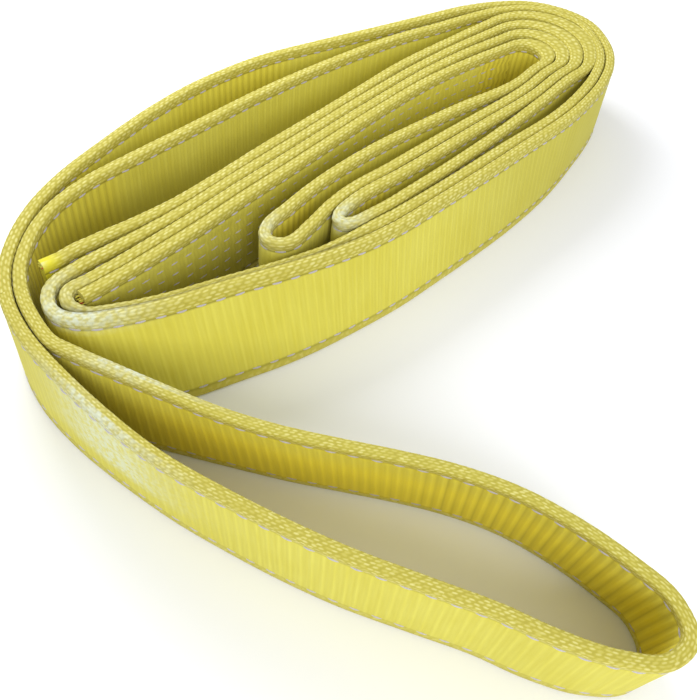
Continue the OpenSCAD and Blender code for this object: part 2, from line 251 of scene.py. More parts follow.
def bandRoute():
    # Every stretch of the band in order, with the lean of its upper edge
    outerTurn = []
    for angle, slack, spread in turnPoints:
        a, r = math.radians(angle), nestRadius(route["lastTurn"]) + lane + slack
        outerTurn.append((nest[0] + r * math.cos(a), nest[1] + r * math.sin(a), spread))
    opening = route["nestPitch"] + route["turnStep"][1] - lane
    points = bendPoints + backPoints + outerTurn + frontPoints + splicePoints
    leg = routeCurve(points + [(*nestBack(1), opening)], (0, 1, 0), (1, 0, 0))
    inner, spread = leg[:, :2], leg[:, 2:]
    normals = leftNormals(inner)
    outer = inner + normals * (lane + spread)
    steps = route["steps"]
    bendEnd = (len(bendPoints) - 1) * steps
    backEnd = bendEnd + (len(backPoints) + len(outerTurn)) * steps
    frontEnd = backEnd + len(frontPoints) * steps
    third = steps // 3
    stacked = (inner + 2 * normals * (lane + spread))[frontEnd:-third - 1]
    firstEnd = (route["tailEnd"], stacked[0, 1] + route["tailLift"])
    firstTail = np.vstack([[firstEnd], stacked, [nestBack(3)]])
    tucked = slice(frontEnd - third, -third - 1)
    off = lane + opening * ramp(inner[tucked, :1], *route["openingX"])
    secondTail = np.vstack([inner[tucked] - normals[tucked] * off, [nestBack(0)]])[::-1]
    onward = secondTail[-1] - secondTail[-4]
    onward *= route["tailReach"] / np.linalg.norm(onward)
    secondTail = np.vstack([secondTail, [secondTail[-1] + onward]])

    tipRow = eyeRows[-1]
    x, low, high = eyeEnds["firstTip"]
    firstTip = eyeTip(x, eyeLane(0, tipRow) + low, eyeLane(1, tipRow) + high)
    firstRun = routeCurve(
        [nestFront(3)] + eyeLanePoints(0) + firstTip + eyeLanePoints(1)[::-1] + [nestFront(2)],
        (-1, 0), (1, 0),
    )
    lowerEnds = [(x, eyeLane(2, tipRow) + drawn) for x, drawn in eyeEnds["lowerLeg"]]
    upperEnds = [(x, eyeLane(3, tipRow) + drawn) for x, drawn in eyeEnds["upperLeg"]]
    x, low, high = eyeEnds["secondTip"]
    secondTip = eyeTip(x, lowerEnds[-1][1] + low, upperEnds[0][1] + high)
    secondRun = routeCurve(
        [nestFront(1)] + eyeLanePoints(2) + lowerEnds + secondTip + upperEnds
        + eyeLanePoints(3)[::-1] + [nestFront(0)], (-1, 0), (1, 0),
    )
    loop = routeCurve(
        [tuple(outer[0])] + nearLegPoints + tipPoints + farLegPoints + [tuple(inner[0])],
        (0, -1), (0, 1),
    )
    x, y = inner[backEnd:frontEnd + 1].T
    size = route["frontLean"] + route["foldLean"] * faded(x, route["foldFadeX"])
    size *= faded(y, route["frontFadeY"]) * faded(x, route["frontFadeX"])
    frontLean = np.stack([0 * x, size], axis=1)
    across, half = np.array(route["loopAcross"]), route["loopHalfWidth"]
    reach = ramp((loop - np.array(route["loopRoot"])) @ across, -half, half)
    size = route["nearLegLean"] + (route["farLegLean"] - route["nearLegLean"]) * reach
    loopLean = -across * (size * faded(loop[:, 1], route["loopFadeY"]))[:, None]

    runs = [
        ("firstTail", firstTail, None),
        ("firstEye", joinRuns([halfTurn(3, 90, -90), firstRun, halfTurn(2, -90, 90)]), None),
        ("firstSpliceBody", outer[frontEnd:][::-1], None),
        ("firstFrontRun", outer[backEnd:frontEnd + 1][::-1], frontLean[::-1]),
        ("firstBackRun", outer[bendEnd:backEnd + 1][::-1], None),
        ("firstBend", outer[:bendEnd + 1][::-1], None),
        ("middleLoop", loop, loopLean),
        ("secondBend", inner[:bendEnd + 1], None),
        ("secondBackRun", inner[bendEnd:backEnd + 1], None),
        ("secondFrontRun", inner[backEnd:frontEnd + 1], frontLean),
        ("secondSpliceBody", inner[frontEnd:], None),
        ("secondEye", joinRuns([halfTurn(1, 90, -90), secondRun, halfTurn(0, -90, 90)]), None),
        ("secondTail", secondTail, None),
    ]
    path = joinRuns([run for _, run, _ in runs])
    lean = joinRuns([np.zeros_like(run) if tilt is None else tilt for _, run, tilt in runs])
    lean[:, 0] -= route["farLean"] * ramp(path[:, 0], *route["farFadeX"])
    travel = np.concatenate([[0], np.cumsum(np.linalg.norm(np.diff(path, axis=0), axis=1))])
    ends, count = {}, 0
    for name, run, _ in runs:
        ends[name] = (travel[count], travel[count + len(run) - 1])
        count += len(run) - 1
    return path - np.array(route["middle"]), lean, travel, ends


routePath, routeLean, routeTravel, stretchEnds = bandRoute()
bandLength = routeTravel[-1]
print("route: band of %.0f mm" % bandLength)

# Sizes of the woven surface, in mm; heights are from the band's middle
weave = {
    "stationStep": 0.5,             # one station of the mesh along the band
    "topStep": 0.39,                # points of the section round the upper edge
    "lowStep": 1.2,                 # and round the lower edge, which stands on the floor
    "edgeFrom": 18.0,               # height where the points of an edge begin
    "gatherPitch": 4.3,             # ribs across the band, two to a stitch
    "gatherHeight": 0.5,            # where a face is bent inwards
    "softHeight": 0.12,             # and elsewhere
    "gatherMean": 0.8,
    "gatherPower": 0.7,             # under 1 for round ribs with narrow valleys
    "hollowRadii": (700.0, 180.0),  # bends where a face begins to gather, and gathers fully
    "ribPitch": 2.15,               # fine ribs between the gathers
    "ribHeight": 0.09,
    "knotRow": 1.55,                # knots of the bound edge: one row to the next
    "knotPitch": 3.8,               # and one knot to the next along the band
    "knotLength": 3.7,
    "knotWidth": 1.48,
    "knotTilt": 0.06,               # radians
    "knotShift": 0.2,               # shift of every other row, in knots
    "knotHeight": 0.18,
    "knotMean": 0.75,
    "knotPower": 2.5,               # over 2 for blunt ends
    "lowKnots": 0.4,                # knots of the lower edge, against the upper
    "loopKnots": 0.75,              # and of the loop, against the coil
    "seamDepth": 0.9,               # how deep the seam rows are drawn in
    "seamWidth": 1.0,
    "rowInset": 5.0,                # edge stitching, from the edge
    "rowWidth": 0.5,
    "rimFade": (0.2, 1.2),          # the knots begin this far outside the stitching
    "faceFade": 1.5,                # and the ribs end this far inside it
    "edgeWave": 0.35,               # unevenness of the upper edge
    "waveLengths": (23.0, 61.0),
    "wavePhases": (1.3, 0.4),
    "waveFrom": -10.0,              # height where the unevenness begins
    "seed": 7,
}
halfWidth = route["width"] / 2
rowHeight = halfWidth - weave["rowInset"]

# Lengths of band over which the stations are evened out, in mm
evening = {"path": 2.0, "lean": 12.0, "bend": 17.0}
heldStations = 5   # left as they are at each end of the band


def sampleRoute(travel, values=routePath):
    return np.stack([np.interp(travel, routeTravel, values[:, k]) for k in (0, 1)], axis=1)


def smooth(values, length):
    # Running mean over a length of band, twice, with the ends held
    reach = int(length / weave["stationStep"])
    kernel = np.ones(2 * reach + 1) / (2 * reach + 1)
    for _ in range(2):
        values = np.convolve(np.pad(values, reach, mode="edge"), kernel, mode="valid")
    return values


stationCount = int(bandLength / weave["stationStep"])
stationTravel = np.linspace(0, bandLength, stationCount + 1)
stationStep = stationTravel[1]
stationPath = sampleRoute(stationTravel)
for axisIndex in (0, 1):
    fair = smooth(stationPath[:, axisIndex], evening["path"])
    stationPath[heldStations:-heldStations, axisIndex] = fair[heldStations:-heldStations]
leanAxes = sampleRoute(stationTravel, routeLean).T
stationLean = np.stack([smooth(values, evening["lean"]) for values in leanAxes], axis=1)
stationNormal = leftNormals(stationPath)
stationAngle = np.unwrap(np.arctan2(stationNormal[:, 1], stationNormal[:, 0]))
stationTurn = np.gradient(stationAngle, stationStep)     # 1 / mm, positive to the left
stationBend = smooth(stationTurn, evening["bend"])

# The front run's inner leg sits a little lower at the fold
innerDip = {"run": "secondFrontRun", "depth": 3.0, "fadeX": (-5.0, 35.0), "fadeY": (50.0, 64.0)}


def stationDips():
    x, y = (stationPath + np.array(route["middle"])).T
    start, end = stretchEnds[innerDip["run"]]
    inside = (stationTravel >= start) & (stationTravel <= end)
    return innerDip["depth"] * inside * faded(x, innerDip["fadeX"]) * faded(y, innerDip["fadeY"])


stationDip = stationDips()

# Quarter of the section, in mm: height from the middle, half thickness
sectionQuarter = [
    (0.0, 2.55), (10.0, 2.6), (17.0, 2.62), (19.0, 2.55), (19.8, 2.38), (20.4, 2.45), (21.2, 2.7),
    (22.2, 2.85), (23.4, 2.85), (24.1, 2.72), (24.6, 2.4), (24.85, 1.9), (24.97, 1.25), (25.0, 0.6),
]
# Points of a face, on the seam rows and between them
faceHeights = [-16.5, -13, -9.75, -6.5, -3.25, 0, 3.25, 6.5, 9.75, 13, 16.5]

# Rows of stitches of a splice seam, in mm: from the tail's ends, above the floor, and one stitch
seamRows = {
    "margin": 14.0,
    "heights": (12.0, 18.5, 25.0, 31.5, 38.0),
    "pitch": 8.0,
    "length": 4.2,
    "thread": 0.8,
    "rise": 0.2,
}


def spacedLine(points, step):
    points = np.array(points)
    run = np.concatenate([[0], np.cumsum(np.linalg.norm(np.diff(points, axis=0), axis=1))])
    places = np.linspace(0, run[-1], int(run[-1] / step) + 1)
    return np.stack([np.interp(places, run, points[:, k]) for k in (0, 1)], axis=1)


def bandSection():
    # Closed section: up the right face, over the upper edge, down the left face and round below
    heights, halves = np.array(sectionQuarter).T
    edge = [(-t, z) for z, t in sectionQuarter if z > weave["edgeFrom"]]
    over = edge + [(-side, z) for side, z in edge[::-1]]
    under = [(-side, -z) for side, z in over]
    half = np.interp(np.abs(faceHeights), heights, halves)
    right = np.stack([-half, faceHeights], axis=1)
    return np.vstack([
        right, spacedLine(over, weave["topStep"]), (right * (-1, 1))[::-1],
        spacedLine(under, weave["lowStep"]),
    ])


section = bandSection()
sectionAlong = np.roll(section, -1, axis=0) - np.roll(section, 1, axis=0)
sectionOut = np.stack([-sectionAlong[:, 1], sectionAlong[:, 0]], axis=1)
sectionOut /= np.linalg.norm(sectionOut, axis=1)[:, None]
sectionGirth = np.concatenate([[0], np.cumsum(np.linalg.norm(np.diff(section, axis=0), axis=1))])
sectionSide = np.where(section[:, 0] > 0, 1, -1)         # 1 on the left face, -1 on the right
sectionHeight = np.abs(section[:, 1])
sectionRim = ramp(sectionHeight, *(rowHeight + past for past in weave["rimFade"]))
sectionFace = 1 - ramp(sectionHeight, rowHeight - weave["faceFade"], rowHeight)

# How single knots differ: shifts in knots and rows, tilt in radians, size and tone as shares
knotLimits = {
    "along": (-0.14, 0.14),
    "across": (-0.12, 0.12),
    "tilt": (-0.14, 0.14),
    "size": (0.9, 1.08),
    "tone": (0.0, 1.0),
}


def knotGrids():
    # One row of each grid for a row of knots, with some to spare
    rng = np.random.default_rng(weave["seed"])
    least = weave["loopKnots"]
    rows = int(sectionGirth[-1] / weave["knotRow"] / least) + 3
    cells = int(bandLength / weave["knotPitch"] / least) + 3
    return {name: rng.uniform(low, high, (rows, cells)) for name, (low, high) in knotLimits.items()}


knots = knotGrids()


def knotField(travel, girth, scale):
    # Knots like rice grains, laid along the band: height from 0 between them to 1, and tone
    best = np.zeros((len(travel), len(girth)))
    tone = np.full_like(best, 0.5)
    travel = travel[:, None] / scale / weave["knotPitch"]
    girth = girth[None, :] / scale / weave["knotRow"]
    for rowShift in (-1, 0, 1):
        row = np.floor(girth).astype(int) + rowShift
        for cellShift in (-1, 0, 1):
            cell = np.floor(travel).astype(int) + cellShift
            pick = (row + 1, np.clip(cell + 1, 0, knots["tone"].shape[1] - 1))
            middle = cell + 0.5 + weave["knotShift"] * (row % 2 * 2 - 1) + knots["along"][pick]
            along = (travel - middle) * weave["knotPitch"]
            across = (girth - row - 0.5 - knots["across"][pick]) * weave["knotRow"]
            tilt = weave["knotTilt"] + knots["tilt"][pick]
            u = (along * np.cos(tilt) + across * np.sin(tilt)) / (weave["knotLength"] / 2)
            v = (across * np.cos(tilt) - along * np.sin(tilt)) / (weave["knotWidth"] / 2)
            left = 1 - np.abs(u) ** weave["knotPower"] - (v / knots["size"][pick]) ** 2
            dome = np.sqrt(np.clip(left, 0, 1))
            higher = dome > best
            best, tone = np.where(higher, dome, best), np.where(higher, knots["tone"][pick], tone)
    return best, tone


# Bleached places by stretch, and a painted sheen on the loop's near leg, in mm: x, y, reach, lowest
# height, strength, side (0 for both)
bleachAndSheenSpots = {
    "firstFrontRun": [(-108, 52, 22, 42, 0.65, 0)],
    "secondFrontRun": [(-102, 52, 16, 44, 0.3, 0)],
    "firstEye": [(19, 33, 11, 40, 0.5, 0)],
    "secondEye": [(-14, 50, 11, 42, 0.35, 0)],
    # the first spot here is a painted sheen on the near leg's outer face
    "middleLoop": [(-122, 5, 28, 12, 0.6, -1), (-110, 20, 14, 46, 0.45, 0)],
    # the same painted sheen
    "firstBendLower": [(-122, 5, 28, 12, 0.6, -1)],
    "secondBendLower": [(-110, 20, 14, 46, 0.45, 0)],
    "firstTail": [(-104, 89, 4, 46, 0.9, -1)],
}
bleachAndSheenFade = 6.0   # mm of height
seamSides = {"firstTail": 1, "secondTail": 1}   # the face on which a seam shows
loopStretches = ("middleLoop", "firstBendLower", "secondBendLower")

# Painted bounce light: the loop's inner face is painted warmer and gathered, its warmth less near its
# upper edge, in mm
bounceWarmFaces = {
    "fadeY": (-20.0, 50.0),
    "strength": 0.75,
    "upper": (2.0, 18.0),
    "upperLoss": 0.6,
    "gathered": 0.45,
    # faces bent inwards also get painted bounce light
    "hollow": 0.3,             # warmth of any other face that is bent inwards
}

# Faces with painted shade, darker in the deep pockets and towards the right end of the first front and
# back runs: side, strength, x where it starts and is full, and how much less higher up
paintedShadeFaces = {
    "secondBackRun": (-1, 0.5, (150, -60), 0.6),
    "secondBendUpper": (-1, 0.5, (150, -60), 0.6),
    "secondTail": (1, 0.42, (170, 0), 0.6),
    "firstFrontRun": (-1, 0.2, (40, 150), 0.0),
    "firstBackRun": (-1, 0.2, (40, 150), 0.0),
}
unshadedFace = (0, 0.0, (0, 1), 0.0)
paintedShadeFade = (-10.0, 21.0)   # heights between which it grows less, in mm

# The first tail's end is sealed over a few mm
sealedEnd = {"stretch": "firstTail", "fade": (2.0, 11.0)}

# Painted shade on the edges of the front run where the two legs meet: mm from the middle, and heights
tuckedShadeEdges = {"firstFrontRun": (0.9, 1.9), "secondFrontRun": (-0.2, 1.2)}
tuckedShadeHeights = (19.0, 22.0)

# Upper edges that spread outwards at the far end, where the turns stand apart, in mm
flare = {
    "stretches": ("firstEye", "secondEye"),
    "size": 5.3,
    "fromX": (200.0, 225.0),
    "fromSide": (-1.5, 2.6),
    "fromHeight": (-9.0, 22.0),
    "heightPower": 3,
    "turnPower": 1.5,          # less as the turn comes round
}


def knotScale(stretch):
    return weave["loopKnots"] if stretch in loopStretches else 1.0


def bandFields(stretch, part):
    # Looks of the weave at each station and point of the section, from 0 to 1; along is in mm
    travel, level = stationTravel[part], section[:, 1]
    atX, atY = (stationPath[part] + np.array(route["middle"])).T
    scale, mean = knotScale(stretch), weave["knotMean"]
    knot, tone = knotField(travel, sectionGirth, scale)
    knot = np.where(level > 0, knot, mean + weave["lowKnots"] * (knot - mean))

    # Painted bounce light on the loop's inner face, less near its upper edge, and on hollow faces
    bounceWarm = faded(atY, bounceWarmFaces["fadeY"])[:, None] * ((sectionSide > 0) & (stretch in loopStretches))
    lessBounceHigh = bounceWarmFaces["upperLoss"] * ramp(level, *bounceWarmFaces["upper"])
    bounceWarm = bounceWarmFaces["strength"] * bounceWarm * (1 - lessBounceHigh)
    hollow = ramp(sectionSide * stationBend[part][:, None], *(1 / r for r in weave["hollowRadii"]))
    hollow = np.maximum(hollow, bounceWarmFaces["gathered"] * bounceWarm)

    # Painted shade on some faces, less of it higher up
    shadedSide, strength, startFull, lessShadeHigher = paintedShadeFaces.get(stretch, unshadedFace)
    paintedShade = strength * ramp(atX, *startFull)[:, None] * (sectionSide == shadedSide)
    paintedShade = paintedShade * (1 - lessShadeHigher * ramp(level, *paintedShadeFade))
    sealed = faded(travel, sealedEnd["fade"]) * (stretch == sealedEnd["stretch"])
    # Painted shadow along the edge stitching, and painted shade where the front run's legs meet
    creaseShade = scale**3 * np.exp(-((sectionHeight - rowHeight) / weave["rowWidth"]) ** 2)
    if stretch in tuckedShadeEdges:
        tucked = ramp(section[:, 0], *tuckedShadeEdges[stretch]) * ramp(level, *tuckedShadeHeights)
        atFold = faded(atX, innerDip["fadeX"]) * faded(atY, innerDip["fadeY"])
        creaseShade = np.maximum(creaseShade, tucked * atFold[:, None])
    ridge = np.abs(np.sin(np.pi * travel / weave["gatherPitch"])) ** weave["gatherPower"]
    rib = 0.5 + 0.5 * np.cos(2 * np.pi * travel / weave["ribPitch"])
    spread = np.ones((len(travel), len(section)))
    return {
        "rim": sectionRim * spread,
        "knot": knot,
        "tone": tone,
        "ridge": ridge[:, None] * spread,
        "rib": rib[:, None] * spread,
        "hollow": hollow,
        "bounceWarm": np.maximum(bounceWarmFaces["hollow"] * hollow, bounceWarm),
        "paintedShade": paintedShade,
        "sealed": sealed[:, None] * spread,
        "creaseShade": creaseShade * spread,
        "along": travel[:, None] * spread,
    }


def surfacePush(stretch, fields):
    # How far the cloth stands out of the plain section, in mm
    size = weave["softHeight"] + (weave["gatherHeight"] - weave["softHeight"]) * fields["hollow"]
    ribs = weave["ribHeight"] * (2 * fields["rib"] - 1)
    push = sectionFace * (size * (fields["ridge"] - weave["gatherMean"]) + ribs)
    grain = weave["knotHeight"] * knotScale(stretch) * (fields["knot"] - weave["knotMean"])
    push = push + sectionRim * grain * (1 - fields["sealed"])
    if stretch in seamSides:
        rows = np.array(seamRows["heights"]) - halfWidth
        off = np.min(np.abs(section[:, 1:] - rows), axis=1)
        sewn = np.exp(-(off / weave["seamWidth"]) ** 2) * (sectionSide == seamSides[stretch])
        push = push - weave["seamDepth"] * sewn * sectionFace
    return push


def edgeSpread(part):
    # Sideways shift of the upper edges at the far end, positive to the left
    outside = -np.sign(stationBend[part])
    turned = np.clip(outside * stationNormal[part, 0], 0, 1) ** flare["turnPower"]
    reach = flare["size"] * ramp(stationPath[part, 0] + route["middle"][0], *flare["fromX"]) * turned
    rolled = ramp(section[:, 0] * outside[:, None], *flare["fromSide"])
    rolled = rolled * ramp(section[:, 1], *flare["fromHeight"]) ** flare["heightPower"]
    return (outside * reach)[:, None] * rolled


def bandPlaces(stretch, part, fields):
    # The section's points at each station, in mm
    travel, centre, normal = stationTravel[part], stationPath[part], stationNormal[part]
    push = surfacePush(stretch, fields)
    side, level = section[:, 0] + push * sectionOut[:, 0], section[:, 1] + push * sectionOut[:, 1]
    if stretch in flare["stretches"]:
        side = side + edgeSpread(part)
    wave = weave["edgeWave"]
    for length, phase in zip(weave["waveLengths"], weave["wavePhases"]):
        wave = wave * np.sin(travel / length + phase)
    rise = (wave - stationDip[part])[:, None]
    level = level + rise * ramp(section[:, 1], weave["waveFrom"], rowHeight)
    x, y = (
        centre[:, None, k] + normal[:, None, k] * side + stationLean[part, None, k] * level / halfWidth
        for k in (0, 1)
    )
    return np.stack([x, y, np.maximum(level + halfWidth, 0.0)], axis=2)


def bleachAndSheenField(stretch, places):
    x, y = (places[:, :, k] + route["middle"][k] for k in (0, 1))
    total = np.zeros_like(x)
    for spotX, spotY, reach, low, strength, side in bleachAndSheenSpots.get(stretch, []):
        apart = (x - spotX) ** 2 + (y - spotY) ** 2
        share = strength * np.exp(-apart / reach**2) * ramp(places[:, :, 2], low, low + bleachAndSheenFade)
        total += share * (1 if side == 0 else sectionSide * side > 0)
    return np.clip(total, 0, 1)


def tubeMesh(name, places):
    # Closed mesh from rings of points, with flat caps and sharp ends
    rings, around = places.shape[:2]
    ring = np.arange(rings - 1)[:, None] * around
    a = np.arange(around)[None, :]
    b = np.roll(a, -1)
    quads = np.stack([ring + a, ring + around + a, ring + around + b, ring + b], axis=2).reshape(-1, 4)
    caps = [np.arange(around), np.arange(around)[::-1] + (rings - 1) * around]
    loops = np.concatenate([quads.ravel(), *caps]).astype(np.int32)
    sizes = np.concatenate([np.full(len(quads), 4), [around, around]])
    starts = np.concatenate([[0], np.cumsum(sizes)[:-1]]).astype(np.int32)
    mesh = bpy.data.meshes.new(name)
    mesh.vertices.add(rings * around)
    mesh.vertices.foreach_set("co", places.ravel().astype(np.float32))
    mesh.loops.add(len(loops))
    mesh.loops.foreach_set("vertex_index", loops)
    mesh.polygons.add(len(sizes))
    mesh.polygons.foreach_set("loop_start", starts)
    mesh.polygons.foreach_set("use_smooth", sizes == 4)
    mesh.update(calc_edges=True)
    mesh.validate()
    edges = np.zeros(len(mesh.edges) * 2, np.int32)
    mesh.edges.foreach_get("vertices", edges)
    edges = edges.reshape(-1, 2)
    atEnd = (edges.max(1) < around) | (edges.min(1) >= (rings - 1) * around)
    sharp = mesh.attributes.new("sharp_edge", "BOOLEAN", "EDGE")
    sharp.data.foreach_set("value", atEnd)
    return mesh


def bandMesh(stretch, first, last):
    # The band between two stations, with its looks as attributes
    part = slice(first, last + 1)
    fields = bandFields(stretch, part)
    places = bandPlaces(stretch, part, fields)
    fields["bleachAndSheen"] = bleachAndSheenField(stretch, places)
    fields["height"] = places[:, :, 2]
    mesh = tubeMesh(stretch + "Band", places * mm)
    for name, values in fields.items():
        layer = mesh.attributes.new(name, "FLOAT", "POINT")
        layer.data.foreach_set("value", np.ascontiguousarray(values, np.float32).ravel())
    return mesh


# Colours are sRGB hex values
def linearColour(code):
    parts = [int(code[k:k + 2], 16) / 255 for k in (1, 3, 5)]
    return [p / 12.92 if p <= 0.04045 else ((p + 0.055) / 1.055) ** 2.4 for p in parts] + [1.0]


def addNode(tree, kind, settings=None, inputs=None):
    node = tree.nodes.new(kind)
    for key, value in (settings or {}).items():
        setattr(node, key, value)
    for key, value in (inputs or {}).items():
        if isinstance(value, bpy.types.NodeSocket):
            tree.links.new(value, node.inputs[key])
        else:
            node.inputs[key].default_value = value
    return node


def newMaterial(name):
    material = bpy.data.materials.new(name)
    material.use_nodes = True
    tree = material.node_tree
    return material, tree, tree.nodes["Principled BSDF"]


webbingLook = {
    "face": "#D6CF5C",
    "faceShade": "#CFC64E",
    # painted bounce light
    "bounceWarm": "#ECD92E",
    # painted shade of the deep pockets and of the runs' right end
    "paintedShade": "#6B611C",
    "sealed": "#DAD234",
    # painted shade in the grooves between the gathers and the ribs
    "grooveShade": "#8F7F22",
    "rim": "#BBB14C",
    # painted highlight on the knots' crests
    "rimHighlight": "#E2DD96",
    # painted shade between the knots
    "rimShade": "#AFA546",
    # painted shadow along the stitching
    "creaseShade": "#655B22",
    # bleached white, and the painted sheen
    "bleachAndSheen": "#D6E2DA",
    "roughness": 0.7,
    "sheen": 0.04,
    "specular": 0.12,
    "fuzz": 0.35,
    "fuzzDepth": 0.3,   # mm
}

# What the weave and the noises do to its colour: low and high, and what those become; the grooves, knots
# and stitching get painted shade, the knots' crests painted highlights
webbingRanges = {
    "shade": (0.75, 1.3, 0.0, 1.0),     # clouds and streaks together: the face's second colour
    "grooveShade": (0.15, 0.75, 1.0, 0.0),   # dark between the gathers
    "hollow": (0.0, 1.0, 0.12, 0.4),    # more so on a face that is bent inwards
    "rib": (0.0, 1.0, 0.12, 0.0),       # a little dark between the fine ribs
    "raised": (0.0, 0.65, 0.0, 1.0),    # deep between the knots
    "pale": (0.55, 1.0, 0.0, 0.8),      # pale on their crests
    "tone": (0.0, 1.0, 0.2, 1.0),       # some knots paler than others
    "creaseShade": (0.0, 1.0, 0.0, 0.7),     # dark along the edge stitching
    # the specks also mottle the painted sheen
    "mottle": (0.38, 0.6, 0.3, 1.0),    # specks in the bleached places
}

# Sizes of the patterns, in mm
patternSizes = {
    "cloud": 32.0,
    "fibre": 0.7,           # real fibres are finer; as coarse as it needs to show
    "speck": 2.4,
    "streakWidth": 1.3,
    "streakLength": 24.0,
    "yarn": 0.5,            # plies of a thread, coarser than real to show
    "floor": 330.0,
}


def patternScale(name):
    return 1 / (patternSizes[name] * mm)


def polyesterWebbing(look):
    # Polyester webbing, woven: a matt, slightly silky face of fine cross ribs, with a knotty edge made
    # pale by painted highlights; painted bounce light, painted shade and a painted sheen lie in its
    # colour too
    material, tree, shader = newMaterial("polyesterWebbing")
    mix, add, multiply = {"data_type": "RGBA"}, {"operation": "ADD"}, {"operation": "MULTIPLY"}
    names = (
        "rim", "knot", "tone", "ridge", "rib", "hollow", "bounceWarm", "paintedShade", "sealed", "creaseShade",
        "bleachAndSheen", "along", "height",
    )
    given = {
        name: addNode(tree, "ShaderNodeAttribute", {"attribute_name": name}).outputs["Fac"]
        for name in names
    }
    colours = {key: linearColour(code) for key, code in look.items() if isinstance(code, str)}
    place = addNode(tree, "ShaderNodeTexCoord").outputs["Object"]
    clouds = {}
    for name in ("cloud", "fibre", "speck"):
        inputs = {"Vector": place, "Scale": patternScale(name), "Detail": 2.0}
        clouds[name] = addNode(tree, "ShaderNodeTexNoise", inputs=inputs).outputs["Fac"]
    across = addNode(tree, "ShaderNodeMath", {"operation": "DIVIDE"},
                     {0: given["along"], 1: patternSizes["streakWidth"]}).outputs[0]
    upright = addNode(tree, "ShaderNodeMath", {"operation": "DIVIDE"},
                      {0: given["height"], 1: patternSizes["streakLength"]}).outputs[0]
    streakPlace = addNode(tree, "ShaderNodeCombineXYZ", inputs={0: across, 1: upright}).outputs[0]
    streak = addNode(tree, "ShaderNodeTexNoise",
                     inputs={"Vector": streakPlace, "Scale": 1.0, "Detail": 2.0}).outputs["Fac"]
    tint = addNode(tree, "ShaderNodeMath", add, {0: clouds["cloud"], 1: streak}).outputs[0]

    sources = {
        "shade": tint, "grooveShade": given["ridge"], "hollow": given["hollow"], "rib": given["rib"],
        "raised": given["knot"], "pale": given["knot"], "tone": given["tone"],
        "creaseShade": given["creaseShade"], "mottle": clouds["speck"],
    }
    share = {}
    for name, limits in webbingRanges.items():
        inputs = dict(enumerate((sources[name], *limits)))
        share[name] = addNode(tree, "ShaderNodeMapRange", inputs=inputs).outputs[0]
    # Painted shade in the grooves, stronger on hollow faces
    gathers = addNode(tree, "ShaderNodeMath", multiply, {0: share["grooveShade"], 1: share["hollow"]})
    grooveShadeShare = addNode(tree, "ShaderNodeMath", add, {0: gathers.outputs[0], 1: share["rib"]})
    crest = addNode(tree, "ShaderNodeMath", multiply, {0: share["pale"], 1: share["tone"]})
    # Bleached specks, and the painted sheen
    wornAndSheen = addNode(tree, "ShaderNodeMath", multiply, {0: given["bleachAndSheen"], 1: share["mottle"]})

    # Each layer lies over the ones before it
    faceLayers = [
        (share["shade"], "faceShade"), (given["bounceWarm"], "bounceWarm"), (grooveShadeShare.outputs[0], "grooveShade"),
        (given["paintedShade"], "paintedShade"),
    ]
    # Painted shade between the knots and painted highlights on their crests
    rimLayers = [(share["raised"], "rim"), (crest.outputs[0], "rimHighlight")]
    upperLayers = [
        (given["sealed"], "sealed"), (share["creaseShade"], "creaseShade"), (wornAndSheen.outputs[0], "bleachAndSheen"),
    ]
    face, rim = colours["face"], colours["rimShade"]
    for amount, name in faceLayers:
        face = addNode(tree, "ShaderNodeMix", mix, {0: amount, 6: face, 7: colours[name]}).outputs[2]
    for amount, name in rimLayers:
        rim = addNode(tree, "ShaderNodeMix", mix, {0: amount, 6: rim, 7: colours[name]}).outputs[2]
    colour = addNode(tree, "ShaderNodeMix", mix, {0: given["rim"], 6: face, 7: rim}).outputs[2]
    for amount, name in upperLayers:
        colour = addNode(tree, "ShaderNodeMix", mix, {0: amount, 6: colour, 7: colours[name]}).outputs[2]
    tree.links.new(colour, shader.inputs["Base Color"])
    shader.inputs["Roughness"].default_value = look["roughness"]
    shader.inputs["Sheen Weight"].default_value = look["sheen"]
    shader.inputs["Specular IOR Level"].default_value = look["specular"]
    fuzz = {"Strength": look["fuzz"], "Distance": look["fuzzDepth"] * mm, "Height": clouds["fibre"]}
    bump = addNode(tree, "ShaderNodeBump", inputs=fuzz)
    tree.links.new(bump.outputs[0], shader.inputs["Normal"])
    return material


# Spun polyester thread: greyish white and matt, a little darker between its plies
threadLook = {
    "pale": "#C6C1CB", "dark": "#A19BA6", "roughness": 0.6, "sheen": 0.2, "pattern": "yarn",
}
# One dyed polyester yarn, cut with the band: matt red, darker between its fibres
yarnLook = {
    "pale": "#D8402E", "dark": "#A8281C", "roughness": 0.7, "sheen": 0.0, "pattern": "yarn",
}
# Painted board: matt and nearly white, with a faint wide mottle
floorLook = {
    "pale": "#F8F9FD", "dark": "#F3F5FA", "roughness": 0.9, "sheen": 0.0, "pattern": "floor",
}


def twoToneMaterial(name, look):
    material, tree, shader = newMaterial(name)
    place = addNode(tree, "ShaderNodeTexCoord").outputs["Object"]
    inputs = {"Vector": place, "Scale": patternScale(look["pattern"])}
    mottle = addNode(tree, "ShaderNodeTexNoise", inputs=inputs).outputs["Fac"]
    tones = {0: mottle, 6: linearColour(look["pale"]), 7: linearColour(look["dark"])}
    colour = addNode(tree, "ShaderNodeMix", {"data_type": "RGBA"}, tones).outputs[2]
    tree.links.new(colour, shader.inputs["Base Color"])
    shader.inputs["Roughness"].default_value = look["roughness"]
    shader.inputs["Sheen Weight"].default_value = look["sheen"]
    return material


webbingMaterial = polyesterWebbing(webbingLook)
threadMaterial = twoToneMaterial("sewingThread", threadLook)
yarnMaterial = twoToneMaterial("markerYarn", yarnLook)
print("materials: webbing, thread, yarn")

# Visual pieces of the band: each spans one hinge at most
flex = 24.0   # mm of band on each side of a hinge, in the piece over it


